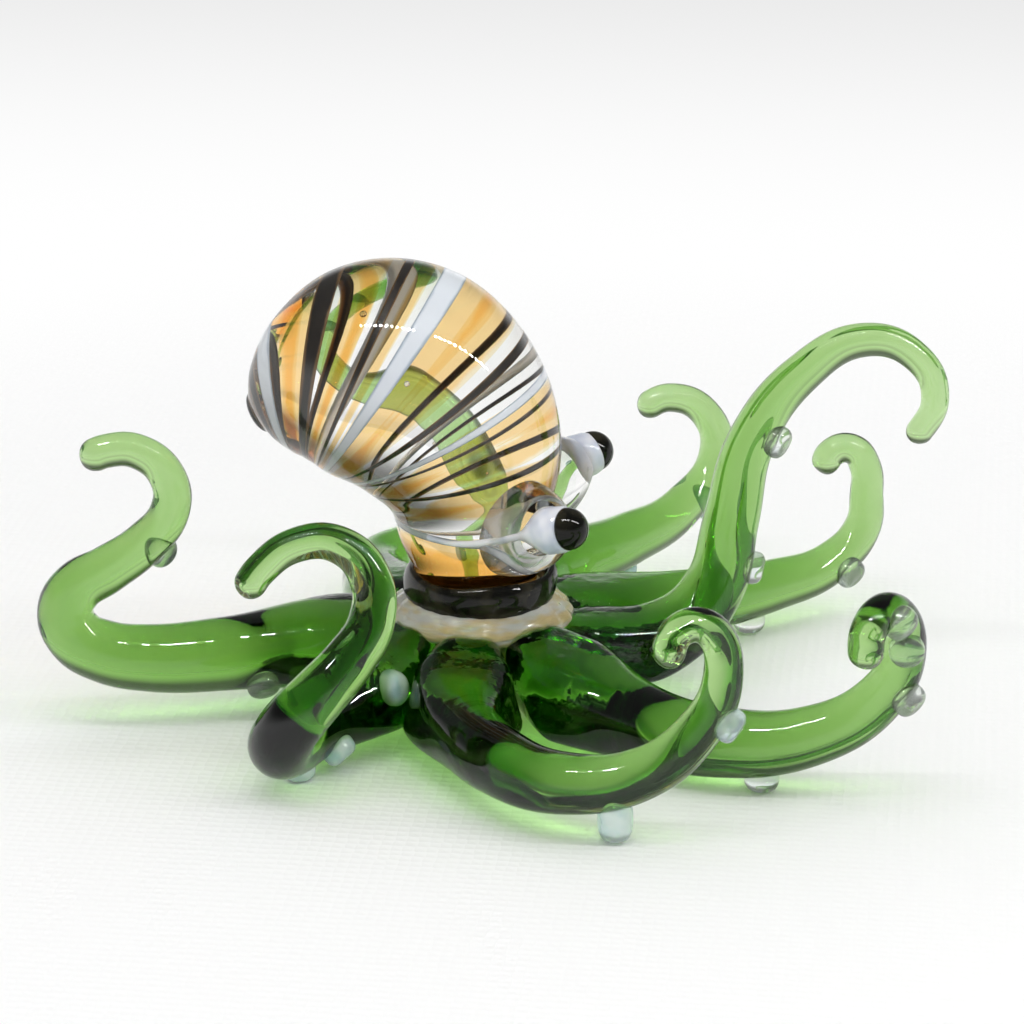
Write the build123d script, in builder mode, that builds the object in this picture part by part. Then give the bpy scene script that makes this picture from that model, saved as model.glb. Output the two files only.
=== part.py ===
"""Octopus figurine of lampworked glass: a striped clear mantle on a black neck, two eyes, a hub and eight curled arms.

The octopus faces +X and stands on its lowest suckers at z = 0. Lengths are in millimetres.
"""

import os
from math import cos, hypot, pi, radians, sin

from build123d import *

# Hub: where its axis stands from the middle of the footprint, and its body
hub_place = (-1.5, -2.0)
hub_radius = 8.5
hub_lip = 0.4  # body above and below the arms' roots
hub_edge = 1.6  # rounding of the body's rims
spigot_radius = 5.8

# Arms: glass rods drawn out from the hub, tapering to a round tip
rod_radius = 3.75
tip_radius = 1.6
draw_start = 0.18  # share of the route where the rod begins to thin
root_height = 6.6
root_depth = 4.5  # how far a root is let into the hub
root_run = 1.5  # straight length outside the hub
root_gap = 0.05  # half the seam between neighbouring roots
arm_sections = 36
tip_leans = (20, 40, 58, 72, 82, 88)  # degrees round the tip's dome, section by section

# Each arm: girth against the plain rod, the route after its root, its suckers and its feet.
# Routes start from the hub's axis on the floor. Suckers are (share of the route, degrees round the
# rod from its underside), and feet are shares of the route.
arms = {
    "front": (
        0.86,
        [(18.5, 3, 7), (23, 5.6, 11), (24.7, 7.1, 18), (26.5, 8.5, 26), (31.3, 9.9, 32.8)]
        + [(37.5, 11.2, 36.2), (42.7, 11.8, 34.4), (44.7, 12, 30), (42.6, 11.6, 25.5)],
        ((0.36, -30), (0.56, -45)),
        (),
    ),
    "front_left": (
        0.98,
        [(18.2, 15.8, 5.4), (28, 25, 4.6), (34.3, 30.3, 5.8), (37.2, 32.6, 9), (37.5, 33, 12.6)]
        + [(37.3, 33, 15.6), (35.8, 32.6, 17.7), (33.7, 31.9, 17.4), (32.8, 31.4, 15.2)],
        ((0.69, -60),),
        (0.5,),
    ),
    "left": (
        0.96,
        [(2.8, 17, 7.2), (6.6, 22, 7.4), (11.9, 30.2, 7.2), (17.4, 38.4, 8.6), (20.6, 42.3, 13.2)]
        + [(19.5, 42.4, 17.8), (15.7, 41.2, 20), (12.2, 40, 18.8)],
        ((0.3, 0), (0.48, 0), (0.7, 0)),
        (),
    ),
    "rear_left": (
        1.0,
        [(-12.8, 17, 5.2), (-14, 25.5, 4.8), (-9.6, 33.1, 5.6), (-5.5, 36.6, 10), (-4.2, 36.8, 16)]
        + [(-5.9, 36, 21.6), (-9.8, 35.1, 24.2), (-14.1, 34, 22.2)],
        ((0.6, 0), (0.72, 0)),
        (0.34,),
    ),
    "rear": (
        1.04,
        [(-17, -3.5, 6.8), (-25, -7.5, 6.7), (-32, -10, 6.9), (-36.4, -11, 7.8), (-39, -11.4, 9.4)]
        + [(-40, -11.4, 12), (-38.8, -11.3, 14.5), (-35.8, -11, 16.4), (-32, -10.6, 19.2)]
        + [(-29.4, -10.2, 22.6), (-29.5, -10.2, 26), (-32.2, -10.7, 28.7), (-35.4, -11.1, 28.8)]
        + [(-37.8, -11.5, 27.7)],
        ((0.28, 45), (0.75, -150)),
        (),
    ),
    "rear_right": (
        0.98,
        [(-11, -14.5, 5.4), (-14, -20.5, 4.7), (-15.4, -25.4, 4.7), (-15.4, -28.4, 6.1), (-14, -29.8, 8.7)]
        + [(-11.6, -29, 11.4), (-9, -27.2, 14.2), (-7.1, -25.2, 17.4), (-7.4, -23.7, 21.4)]
        + [(-10.2, -23.4, 24.4), (-14.1, -24.3, 24.7), (-17.6, -25.7, 22.4), (-19.1, -26.5, 20)],
        ((0.19, 100), (0.31, 45)),
        (0.36,),
    ),
    "right": (
        0.98,
        [(0.2, -15, 5.8), (1.4, -21, 5.4), (5.3, -28.1, 5.2), (12.1, -33.3, 5.4), (19.2, -33.8, 6.8)]
        + [(24.4, -33.3, 11), (26.8, -33, 16.5), (25.6, -34.1, 21.6), (22.9, -36.5, 22.2)]
        + [(21.9, -38.9, 19.6)],
        ((0.75, -15),),
        (0.58,),
    ),
    "front_right": (
        1.06,
        [(15.9, -14.7, 5), (25.6, -19.5, 4.6), (34.7, -20.1, 6), (40.8, -20.2, 10.1)]
        + [(43.1, -21.6, 16), (41.7, -24.7, 20.6), (39.9, -28.1, 20), (39.7, -29, 16.4)],
        ((0.72, -30), (0.81, -75), (0.89, -45)),
        (0.5,),
    ),
}

# Suckers: round dabs that stand proud of an arm
sucker_radius = 1.7
sucker_height = 1.2
sucker_rounding = 0.8
foot_rounding = 0.35

# Neck band: a ring round the hub's spigot
band_height = 3.4
band_radius = 7.2
band_rounding = 1.2
rim_share = 0.8  # most of the ring's wall that its rounding takes

# Mantle: round sections in a fan about a hinge line behind the neck, as (angle, reach, radius)
neck_offset = -0.5
neck_radius = 6.9
hinge_behind = 17.5
hinge_above_neck = 7.1
mantle_fan = [(-5, 16.4, 7.8), (10, 16.3, 9.7), (25, 16.2, 11), (40, 16, 11.8), (55, 15.7, 11.9)]
mantle_fan += [(70, 14.9, 11), (85, 13.5, 9.3), (100, 11.5, 6.8), (112, 10.1, 4.3), (119, 9.6, 2.2)]

# Stripes: canes let into the bulb between two fan angles, as deep as the cane
cane_depth = 0.7
fan_reach = 34.0
stripes = {
    "black": [(12, 14.5), (24, 26.5), (35.5, 39.5), (65, 69), (80, 86), (112, 115)],
    "white": [(-8.5, -5.5), (27.5, 29.5), (54.5, 60), (101, 105)],
    "amber": [(-24, -11), (2.5, 8.5), (15, 23), (42, 53), (61, 64.5), (70, 79), (88, 97)],
}

# Eyes: a white ball on a clear pad on each cheek, with a black cap that looks out and forwards
# Places are forwards, aside and above the neck's top
eye_place = (9.3, 11.7, 8)
eyeball_radius = 2.0
pad_root = (2.5, 3.5, 5.8)
pad_radius = 4.0
pad_middle = 0.45  # share of the pad that keeps its radius
pad_end_radius = 1.7
pupil_radius = 1.9
pupil_forward = 0.75
gaze = (0.66, 0.72, 0.2)

# Heights and reaches that follow from these
widest_root = rod_radius * max(girth for girth, *_ in arms.values())
hub_bottom = root_height - widest_root - hub_lip
hub_top = root_height + widest_root + hub_lip
neck_top = hub_top + band_height
axis_on_floor = Plane(origin=(*hub_place, 0))
mid_plane = Plane(origin=(*hub_place, 0), x_dir=(1, 0, 0), z_dir=(0, -1, 0))
hinge = Vector(-hinge_behind, neck_top + hinge_above_neck)  # in the mid plane
os.makedirs("parts", exist_ok=True)

# Hub: a rounded boss with the spigot that carries the bulb
with BuildPart() as hub:
    with BuildSketch(axis_on_floor.offset(hub_bottom)):
        Circle(hub_radius)
    extrude(amount=hub_top - hub_bottom)
    fillet(hub.edges().filter_by(GeomType.CIRCLE), hub_edge)
    with BuildSketch(axis_on_floor.offset(hub_top)):
        Circle(spigot_radius)
    extrude(amount=band_height)
hub.part.label = "hub"
export_step(hub.part, "parts/hub.step")

# Neck band: a black ring that sits on the hub round the spigot
with BuildPart() as neck_band:
    with BuildSketch(axis_on_floor.offset(hub_top)):
        Circle(band_radius)
        Circle(spigot_radius, mode=Mode.SUBTRACT)
    extrude(amount=band_height)
    outer_rims = neck_band.edges().filter_by(GeomType.CIRCLE).group_by(SortBy.RADIUS)[-1]
    fillet(outer_rims, min(band_rounding, (band_radius - spigot_radius) * rim_share))
neck_band.part.label = "neck_band"
export_step(neck_band.part, "parts/neck_band.step")


def mantle_form(inset):
    """The bulb's solid, with every section drawn in by the inset."""
    with BuildPart() as form:
        with BuildSketch(axis_on_floor.offset(neck_top)):
            with Locations((neck_offset, 0)):
                Circle(neck_radius - inset)
        for angle, reach, radius in mantle_fan:
            spoke = Vector(1, 0, 0).rotate(Axis.Y, -angle)
            across = Vector(0, 0, 1).rotate(Axis.Y, -angle)
            centre = mid_plane.from_local_coords(hinge) + spoke * reach
            with BuildSketch(Plane(origin=centre, x_dir=spoke, z_dir=across)):
                Circle(radius - inset)
        loft()
    return form.part


mantle_outside = mantle_form(0)
mantle_inside = mantle_form(cane_depth)

# Bulb and stripes: canes flush with the surface, between pairs of fan angles, each in its groove
with BuildPart() as mantle_bulb:
    add(mantle_outside)

for colour, fan in stripes.items():
    with BuildPart() as canes:
        add(mantle_outside)
        add(mantle_inside, mode=Mode.SUBTRACT)
        with BuildSketch(mid_plane):
            for low, high in fan:
                with BuildLine():
                    low_end = hinge + Vector(fan_reach, 0).rotate(Axis.Z, low)
                    high_end = hinge + Vector(fan_reach, 0).rotate(Axis.Z, high)
                    Polyline(hinge, low_end, high_end, close=True)
                make_face()
        extrude(amount=fan_reach, both=True, mode=Mode.INTERSECT)
    canes.part.label = f"mantle_{colour}_stripes"
    export_step(canes.part, f"parts/mantle_{colour}_stripes.step")
    with mantle_bulb:
        add(canes.part, mode=Mode.SUBTRACT)

mantle_bulb.part.label = "mantle_bulb"
export_step(mantle_bulb.part, "parts/mantle_bulb.step")

# Eyes: a pad drawn out to a socket, the ball in it and the cap on the ball
for side, hand in (("left", 1), ("right", -1)):
    neck_centre = axis_on_floor.origin + Vector(0, 0, neck_top)
    root = neck_centre + Vector(pad_root[0], pad_root[1] * hand, pad_root[2])
    eye = neck_centre + Vector(eye_place[0], eye_place[1] * hand, eye_place[2])
    look = Vector(gaze[0], gaze[1] * hand, gaze[2]).normalized()

    with BuildPart() as eyeball:
        with Locations(Plane(origin=eye, z_dir=look)):
            Sphere(eyeball_radius)
    eyeball.part.label = f"eyeball_{side}"
    export_step(eyeball.part, f"parts/eyeball_{side}.step")

    with BuildPart() as pupil:
        with Locations(Plane(origin=eye + look * pupil_forward, z_dir=look)):
            Sphere(pupil_radius)
        add(eyeball.part, mode=Mode.SUBTRACT)
    pupil.part.label = f"pupil_{side}"
    export_step(pupil.part, f"parts/pupil_{side}.step")

    with BuildPart() as eye_pad:
        stalk = eye - root
        for share, radius in ((0, pad_radius), (pad_middle, pad_radius), (1, pad_end_radius)):
            with BuildSketch(Plane(origin=root + stalk * share, z_dir=stalk)):
                Circle(radius)
        loft()
        add(mantle_outside, mode=Mode.SUBTRACT)
        add(eyeball.part, mode=Mode.SUBTRACT)
    eye_pad.part.label = f"eye_pad_{side}"
    export_step(eye_pad.part, f"parts/eye_pad_{side}.step")


def arm_frames(route):
    """Planes along a route, their X axis kept to the arm's underside."""
    with BuildLine() as line:
        Spline(*route)
    path = line.edge()
    under = Vector(0, 0, -1)
    frames = []
    for step in range(arm_sections + 1):
        share = step / arm_sections
        ahead = path % share
        under = (under - ahead * under.dot(ahead)).normalized()
        frames.append(Plane(origin=path @ share, x_dir=under, z_dir=ahead))
    return frames


def drawn_radius(share):
    """The plain rod's radius: full near the hub, drawn down smoothly to the tip."""
    drawn = max(0, share - draw_start) / (1 - draw_start)
    return rod_radius + (tip_radius - rod_radius) * drawn**2 * (3 - 2 * drawn)


for number, (name, (girth, bends, sucker_places, foot_places)) in enumerate(arms.items()):
    heading = Vector(1, 0, 0).rotate(Axis.Z, 360 / len(arms) * number)
    lift = Vector(0, 0, root_height)
    root = [heading * (hub_radius - root_depth) + lift, heading * (hub_radius + root_run) + lift]
    frames = arm_frames([axis_on_floor.origin + Vector(point) for point in root + bends])
    radii = [girth * drawn_radius(step / arm_sections) for step in range(arm_sections + 1)]

    # Arm: round sections, squeezed sideways between their neighbours at the root
    with BuildPart() as arm:
        for frame, radius in zip(frames, radii):
            from_axis = axis_on_floor.to_local_coords(frame.origin)
            room = hypot(from_axis.X, from_axis.Y) * sin(pi / len(arms)) - root_gap
            with BuildSketch(frame):
                Ellipse(radius, min(radius, room))
        for lean in tip_leans:
            with BuildSketch(frames[-1].offset(radii[-1] * sin(radians(lean)))):
                Circle(radii[-1] * cos(radians(lean)))
        loft()
        add(hub.part, mode=Mode.SUBTRACT)
    arm.part.label = f"arm_{name}"
    export_step(arm.part, f"parts/arm_{name}.step")

    # Suckers: dabs round the rod, and feet down to the floor
    dabs = []
    for share, roll in sucker_places:
        step = round(share * arm_sections)
        centre, ahead = frames[step].origin, frames[step].z_dir
        spot = Plane(origin=centre, z_dir=frames[step].x_dir.rotate(Axis(centre, ahead), roll))
        dabs.append((spot, radii[step] + sucker_height, sucker_rounding))
    for share in foot_places:
        spot = Plane(origin=frames[round(share * arm_sections)].origin, z_dir=(0, 0, -1))
        dabs.append((spot, spot.origin.Z, foot_rounding))
    with BuildPart() as suckers:
        for spot, length, rounding in dabs:
            with BuildSketch(spot):
                Circle(sucker_radius)
            extrude(amount=length)
            rims = suckers.edges(Select.LAST).filter_by(GeomType.CIRCLE)
            fillet(rims.sort_by_distance(spot.origin)[-1], rounding)
        add(arm.part, mode=Mode.SUBTRACT)
    suckers.part.label = f"suckers_{name}"
    export_step(suckers.part, f"parts/suckers_{name}.step")
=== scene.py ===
from math import asin, cos, pi, radians, sin, sqrt

import bmesh
import bpy
from mathutils import Matrix, Vector


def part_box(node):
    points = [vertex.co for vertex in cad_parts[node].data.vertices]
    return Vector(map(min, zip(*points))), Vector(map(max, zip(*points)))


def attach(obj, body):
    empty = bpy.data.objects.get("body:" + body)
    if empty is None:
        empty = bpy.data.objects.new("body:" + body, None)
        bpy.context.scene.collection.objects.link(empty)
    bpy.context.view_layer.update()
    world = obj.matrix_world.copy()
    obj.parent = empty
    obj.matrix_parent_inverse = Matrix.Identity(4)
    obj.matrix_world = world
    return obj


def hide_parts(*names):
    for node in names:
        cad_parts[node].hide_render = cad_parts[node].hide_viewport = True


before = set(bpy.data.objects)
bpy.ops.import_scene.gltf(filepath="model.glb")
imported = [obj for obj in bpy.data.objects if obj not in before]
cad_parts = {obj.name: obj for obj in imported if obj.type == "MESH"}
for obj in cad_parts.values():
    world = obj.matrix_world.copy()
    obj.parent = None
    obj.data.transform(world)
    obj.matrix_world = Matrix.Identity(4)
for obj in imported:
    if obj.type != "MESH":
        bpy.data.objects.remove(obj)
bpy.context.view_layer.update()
mm = 0.001  # the pieces' sizes are in millimetres until they are multiplied by this
print("frame:", len(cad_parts), "nodes")

hubLow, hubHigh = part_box("hub")
hubAxis = Vector(((hubLow.x + hubHigh.x) / 2, (hubLow.y + hubHigh.y) / 2, 0))  # where it meets the table
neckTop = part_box("neck_band")[1].z / mm
sewGap = 0.002 * mm  # points nearer than this are sewn into one
poleRadius = 0.02  # a turned piece starts and ends on a ring this small


# Node helpers: a value may be a number or another node's socket


def wire(tree, socket, value):
    if isinstance(value, bpy.types.NodeSocket):
        tree.links.new(value, socket)
    else:
        socket.default_value = value


def put(tree, kind, inputs=None, **settings):
    node = tree.nodes.new(kind)
    for name, value in settings.items():
        setattr(node, name, value)
    for name, value in (inputs or {}).items():
        wire(tree, node.inputs[name], value)
    return node


def calc(tree, operation, *values):
    return put(tree, "ShaderNodeMath", dict(enumerate(values)), operation=operation).outputs[0]


def vecCalc(tree, operation, *values):
    return put(tree, "ShaderNodeVectorMath", dict(enumerate(values)), operation=operation).outputs[0]


def vecTimes(tree, vector, amount):
    node = put(tree, "ShaderNodeVectorMath", {"Vector": vector, "Scale": amount}, operation="SCALE")
    return node.outputs["Vector"]


def ranged(tree, value, low, high, toLow=0.0, toHigh=1.0, kind="SMOOTHSTEP"):
    inputs = {"Value": value, "From Min": low, "From Max": high, "To Min": toLow, "To Max": toHigh}
    return put(tree, "ShaderNodeMapRange", inputs, interpolation_type=kind).outputs[0]


def splitXyz(tree, vector):
    return put(tree, "ShaderNodeSeparateXYZ", {0: vector}).outputs


def joinXyz(tree, x, y, z):
    return put(tree, "ShaderNodeCombineXYZ", {"X": x, "Y": y, "Z": z}).outputs[0]


def noise(tree, vector, scale, detail=2.0):
    inputs = {"Vector": vector, "Scale": scale, "Detail": detail}
    return put(tree, "ShaderNodeTexNoise", inputs).outputs["Fac"]


def blended(tree, share, first, second):
    inputs = {"Factor": share, 6: (*first, 1), 7: (*second, 1)}  # 6 and 7 are a Mix node's two colours
    return put(tree, "ShaderNodeMix", inputs, data_type="RGBA").outputs[2]


def dented(tree, shader, height, strength, depth, **inputs):  # bumps the surface without moving it
    inputs |= {"Height": height, "Strength": strength, "Distance": depth}
    wire(tree, shader.inputs["Normal"], put(tree, "ShaderNodeBump", inputs).outputs["Normal"])


def lengthOf(tree, vector):
    return put(tree, "ShaderNodeVectorMath", {0: vector}, operation="LENGTH").outputs["Value"]


def moved(tree, geometry, **inputs):
    return put(tree, "GeometryNodeSetPosition", {0: geometry} | inputs).outputs[0]


def sewn(tree, geometry):
    return put(tree, "GeometryNodeMergeByDistance", {0: geometry, "Distance": sewGap}).outputs[0]


def marked(tree, geometry, name, value, kind):  # keeps a value on every point, for the finish to read
    inputs = {"Geometry": geometry, "Name": name, "Value": value}
    return put(tree, "GeometryNodeStoreNamedAttribute", inputs, data_type=kind, domain="POINT").outputs[0]


def position(tree):
    return splitXyz(tree, put(tree, "GeometryNodeInputPosition").outputs[0])


def newTree(name, sizes):
    tree = bpy.data.node_groups.new(name, "GeometryNodeTree")
    tree.interface.new_socket("Geometry", in_out="INPUT", socket_type="NodeSocketGeometry")
    for label, value in sizes.items():
        kind = "NodeSocketInt" if isinstance(value, int) else "NodeSocketFloat"
        socket = tree.interface.new_socket(label, in_out="INPUT", socket_type=kind)
        socket.default_value = value
    tree.interface.new_socket("Finish", in_out="INPUT", socket_type="NodeSocketMaterial")
    tree.interface.new_socket("Geometry", in_out="OUTPUT", socket_type="NodeSocketGeometry")
    return tree, put(tree, "NodeGroupInput").outputs


def closeTree(tree, source, geometry):
    smooth = put(tree, "GeometryNodeSetShadeSmooth", {0: geometry})
    real = put(tree, "GeometryNodeRealizeInstances", {0: smooth.outputs[0]})
    painted = put(tree, "GeometryNodeSetMaterial", {0: real.outputs[0], "Material": source["Finish"]})
    put(tree, "NodeGroupOutput", {0: painted.outputs[0]})
    return tree


def link(name, data):
    thing = bpy.data.objects.new(name, data)
    bpy.context.collection.objects.link(thing)
    return thing


def grow(name, base, tree, finish, sizes):  # runs a tree on an object and keeps the result as a plain mesh
    modifier = base.modifiers.new(tree.name, "NODES")
    modifier.node_group = tree
    given = dict(sizes, Finish=finish)
    for item in tree.interface.items_tree:
        if item.in_out == "INPUT" and item.name in given:
            modifier[item.identifier] = given[item.name]
    shown = base.evaluated_get(bpy.context.evaluated_depsgraph_get())
    mesh = bpy.data.meshes.new_from_object(shown)
    base.modifiers.remove(modifier)
    mesh.name = name
    return link(name, mesh)


def settle(piece, node):  # the piece stands for this node: it hangs from the root body, and the node's own part is hidden
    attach(piece, "root")
    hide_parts(node)


# Shape helpers


def eased(keys, at):  # smooth values between given keys, each (place, value, value...)
    last = len(keys) - 2
    index = min(last, max(0, sum(key[0] <= at for key in keys) - 1))
    before, low, high, after = (keys[max(0, min(last + 1, index + step))] for step in (-1, 0, 1, 2))
    span = high[0] - low[0]
    t = (at - low[0]) / span
    values = []
    for past, start, end, future in zip(before[1:], low[1:], high[1:], after[1:]):
        startSlope = (end - past) / (high[0] - before[0]) * span
        endSlope = (future - start) / (after[0] - low[0]) * span
        rise = (2 * t - 3) * t * t
        level = start * (1 + rise) - end * rise
        values.append(level + startSlope * t * (1 - t) ** 2 - endSlope * t * t * (1 - t))
    return values


# Skins rows of points: closed joins the last row to the first, and otherwise both ends close to a point
def ringMesh(name, rings, closed):
    mesh = bpy.data.meshes.new(name)
    form = bmesh.new()
    rows = [[form.verts.new(point) for point in ring] for ring in rings]
    for row, nextRow in zip(rows, rows[1:] if not closed else rows[1:] + rows[:1]):
        for here in range(len(row)):
            there = (here + 1) % len(row)
            form.faces.new((row[here], row[there], nextRow[there], nextRow[here]))
    if not closed:
        for row in (rows[0], rows[-1]):
            middle = form.verts.new(sum((vert.co for vert in row), Vector()) / len(row))
            for here in range(len(row)):
                form.faces.new((row[here], row[(here + 1) % len(row)], middle))
    bmesh.ops.recalc_face_normals(form, faces=form.faces)
    for face in form.faces:
        face.smooth = True
    form.to_mesh(mesh)
    form.free()
    return mesh


def turned(name, outline, origin, axis, sides, closed=False, waver=None):  # turns (radius, height) rows
    upright = Vector(axis).to_track_quat("Z", "Y").to_matrix()
    rings = []
    for radius, height in outline:
        ring = []
        for side in range(sides):
            turn = 2 * pi * side / sides
            wide, lift = waver(turn, radius, height) if waver else (1, 0)
            point = Vector((radius * wide * cos(turn), radius * wide * sin(turn), height + lift))
            ring.append(origin + upright @ point * mm)
        rings.append(ring)
    return ringMesh(name, rings, closed)


# Shared effects: draw lines in the glass, and clouded streaks of colour


def groupSockets(group, inputs, outputs):
    for label, kind, value in inputs:
        group.interface.new_socket(label, in_out="INPUT", socket_type=kind).default_value = value
    for label, kind in outputs:
        group.interface.new_socket(label, in_out="OUTPUT", socket_type=kind)
    return put(group, "NodeGroupInput").outputs, put(group, "NodeGroupOutput").inputs


def drawLinesGroup():  # long faint waves left by drawing the hot rod, with a finer seed on top
    group = bpy.data.node_groups.new("drawLines", "ShaderNodeTree")
    floatKind, vectorKind = "NodeSocketFloat", "NodeSocketVector"
    source, drain = groupSockets(
        group,
        [("Vector", vectorKind, (0, 0, 0)), ("Lines", floatKind, 2.0), ("Seeds", floatKind, 40.0)],
        [("Streak", floatKind), ("Height", floatKind)],
    )
    wave = noise(group, source["Vector"], source["Lines"])
    seed = noise(group, source["Vector"], source["Seeds"], 1.0)
    wire(group, drain["Streak"], ranged(group, wave, 0.38, 0.66))
    wire(group, drain["Height"], calc(group, "ADD", wave, calc(group, "MULTIPLY", seed, 0.12)))
    return group


drawLines = drawLinesGroup()


def newFinish(name, colour, rough=0.0, **sockets):
    finish = bpy.data.materials.new(name)
    finish.use_nodes = True
    tree = finish.node_tree
    shader = tree.nodes["Principled BSDF"]
    shader.inputs["Base Color"].default_value = (*colour, 1)
    shader.inputs["Roughness"].default_value = rough
    for label, value in sockets.items():
        shader.inputs[label.replace("_", " ")].default_value = value
    return finish, tree, shader


def addDrawLines(tree, shader, vector, colours, lines, seeds, bump, depth=0.0002):
    inputs = {"Vector": vector, "Lines": lines, "Seeds": seeds}
    effect = put(tree, "ShaderNodeGroup", inputs, node_tree=drawLines).outputs
    wire(tree, shader.inputs["Base Color"], blended(tree, effect["Streak"], *colours))
    dented(tree, shader, effect["Height"], bump, depth)


def objectVector(tree):
    return put(tree, "ShaderNodeTexCoord").outputs["Object"]


def tint(tree, colour, density):  # glass that darkens with its thickness
    body = put(tree, "ShaderNodeVolumeAbsorption", {"Color": (*colour, 1), "Density": density})
    wire(tree, tree.nodes["Material Output"].inputs["Volume"], body.outputs[0])


lineRate = 25.0  # draw lines are long beside their width: their lengths for each metre of rod
rootWrinkles = {"scale": 340.0, "strength": 0.4, "depth": 0.0006, "fullTo": 0.22, "goneFrom": 0.5}


def creaseRoots(tree, shader, line):  # small wrinkles where the hot roots were pressed together
    fromRoot = splitXyz(tree, line)["Z"]
    rough = noise(tree, objectVector(tree), rootWrinkles["scale"], 3.0)
    near = ranged(tree, fromRoot, rootWrinkles["fullTo"], rootWrinkles["goneFrom"], 1.0, 0.0)
    height = calc(tree, "MULTIPLY", rough, near)
    drawn = shader.inputs["Normal"].links[0].from_socket
    dented(tree, shader, height, rootWrinkles["strength"], rootWrinkles["depth"], Normal=drawn)


def greenGlass():
    finish, tree, shader = newFinish("greenGlass", (0.9, 1, 0.85), IOR=1.5, Transmission_Weight=1.0)
    line = put(tree, "ShaderNodeAttribute", attribute_name="drawLine").outputs["Vector"]
    streaks = (0.97, 1, 0.94), (0.88, 0.97, 0.82)
    addDrawLines(tree, shader, line, streaks, lines=1.3, seeds=9.0, bump=0.08)
    creaseRoots(tree, shader, line)
    tint(tree, (0.39, 0.69, 0.035), density=385.0)
    return finish


def clearGlass():
    finish, tree, shader = newFinish("clearGlass", (1, 1, 1), IOR=1.5, Transmission_Weight=1.0)
    streaks = (1, 1, 1), (0.985, 0.99, 0.97)
    addDrawLines(tree, shader, objectVector(tree), streaks, lines=90.0, seeds=900.0, bump=0.05)
    return finish


def hubGlass():
    finish, tree, shader = newFinish("hubGlass", (1, 0.9, 0.7), IOR=1.5, Transmission_Weight=0.62)
    flow = vecCalc(tree, "MULTIPLY", objectVector(tree), (1, 1, 5))  # the streaks lie round the neck
    streaks = (1, 1, 0.96), (1, 0.8, 0.42)
    addDrawLines(tree, shader, flow, streaks, lines=220.0, seeds=1200.0, bump=0.6, depth=0.0006)
    return finish


def blackGlass():
    sockets = {"rough": 0.02, "IOR": 1.5, "Specular_IOR_Level": 0.25}
    finish, tree, shader = newFinish("blackGlass", (0.01, 0.01, 0.008), **sockets)
    streaks = (0.004, 0.004, 0.003), (0.022, 0.02, 0.012)
    addDrawLines(tree, shader, objectVector(tree), streaks, lines=420.0, seeds=1800.0, bump=0.12)
    return finish


def caneFinish(name, core, edge, **sockets):  # a cane is dense along its middle and thins to its edges
    finish, tree, shader = newFinish(name, core, **sockets)
    across = put(tree, "ShaderNodeAttribute", attribute_name="across").outputs["Fac"]
    grain = noise(tree, objectVector(tree), 420.0)
    drift = noise(tree, objectVector(tree), 130.0, 1.0)  # slow changes along the cane
    ragged = calc(tree, "MULTIPLY_ADD", grain, 0.5, calc(tree, "SUBTRACT", across, 0.7))
    dense = calc(tree, "MULTIPLY_ADD", drift, 0.9, ragged)
    wire(tree, shader.inputs["Base Color"], blended(tree, ranged(tree, dense, 0.15, 0.6), edge, core))
    return finish


def dabGlass(name, clear, milk, shade):  # dabs with more or less milk in them
    finish, tree, shader = newFinish(name, milk, 0.03, IOR=1.5, Transmission_Weight=clear)
    addDrawLines(tree, shader, objectVector(tree), (milk, shade), lines=420.0, seeds=1600.0, bump=0.1)
    return finish


def eyeGlass():
    finish, tree, shader = newFinish("eyeGlass", (0.85, 0.87, 0.9), 0.08, IOR=1.5, Subsurface_Weight=0.6)
    shader.inputs["Subsurface Radius"].default_value = (1.0, 1.1, 1.3)
    shader.inputs["Subsurface Scale"].default_value = 0.0008
    streaks = (0.78, 0.79, 0.83), (0.54, 0.59, 0.7)
    addDrawLines(tree, shader, objectVector(tree), streaks, lines=260.0, seeds=900.0, bump=0.05)
    return finish


finishes = {
    "green": greenGlass(),
    "clear": clearGlass(),
    "hub": hubGlass(),
    "black": blackGlass(),
    "opal": dabGlass("opalGlass", 0.4, (0.8, 0.89, 0.92), (0.48, 0.66, 0.73)),
    "haze": dabGlass("hazeGlass", 0.7, (0.86, 0.94, 0.96), (0.58, 0.76, 0.82)),
    "dew": dabGlass("dewGlass", 0.92, (1, 1, 1), (0.86, 0.93, 0.93)),
    "eye": eyeGlass(),
    "blackCane": caneFinish("blackCane", (0.012, 0.008, 0.005), (0.17, 0.095, 0.035), rough=0.3),
    "whiteCane": caneFinish("whiteCane", (0.66, 0.69, 0.73), (0.4, 0.46, 0.53), rough=0.2),
    "amberCane": caneFinish(
        "amberCane", (0.97, 0.71, 0.34), (0.98, 0.88, 0.66), IOR=1.0, Transmission_Weight=1.0
    ),
}
print("finishes:", ", ".join(finishes))


# Arms: rods drawn from the hub, thinning to a rounded tip, with milky dabs for suckers

arm = {
    "rodRadius": 3.75,
    "tipRadius": 1.6,
    "drawStart": 0.18,  # share of the length where the rod starts to thin
    "rootHeight": 6.6,
    "rootInside": 4.0,  # where the route starts, from the hub's axis
    "rootOutside": 10.0,
    "sideLap": 0.03,  # how far a root is let into its neighbour, so that light passes from one to the next
    "rootRounding": 0.3,
    "rootStart": 2.6,  # how far along its route a root meets the hub's core
    "flareWide": 0.35,  # how much a root spreads, how far its web reaches below, and how square it is
    "flareLow": 1.0,
    "flareSquare": 0.4,
    "flareFrom": 26.0,  # from the hub's axis, where the spread starts and where it is full
    "flareFull": 13.0,
    "webFrom": -0.2,  # share of the way down a root where its web starts and where it is full
    "webFull": 0.7,
    "rootBlend": 0.3,  # how softly a root is squeezed by its neighbours
    "sides": 57,
    "rings": 230,
}
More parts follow.
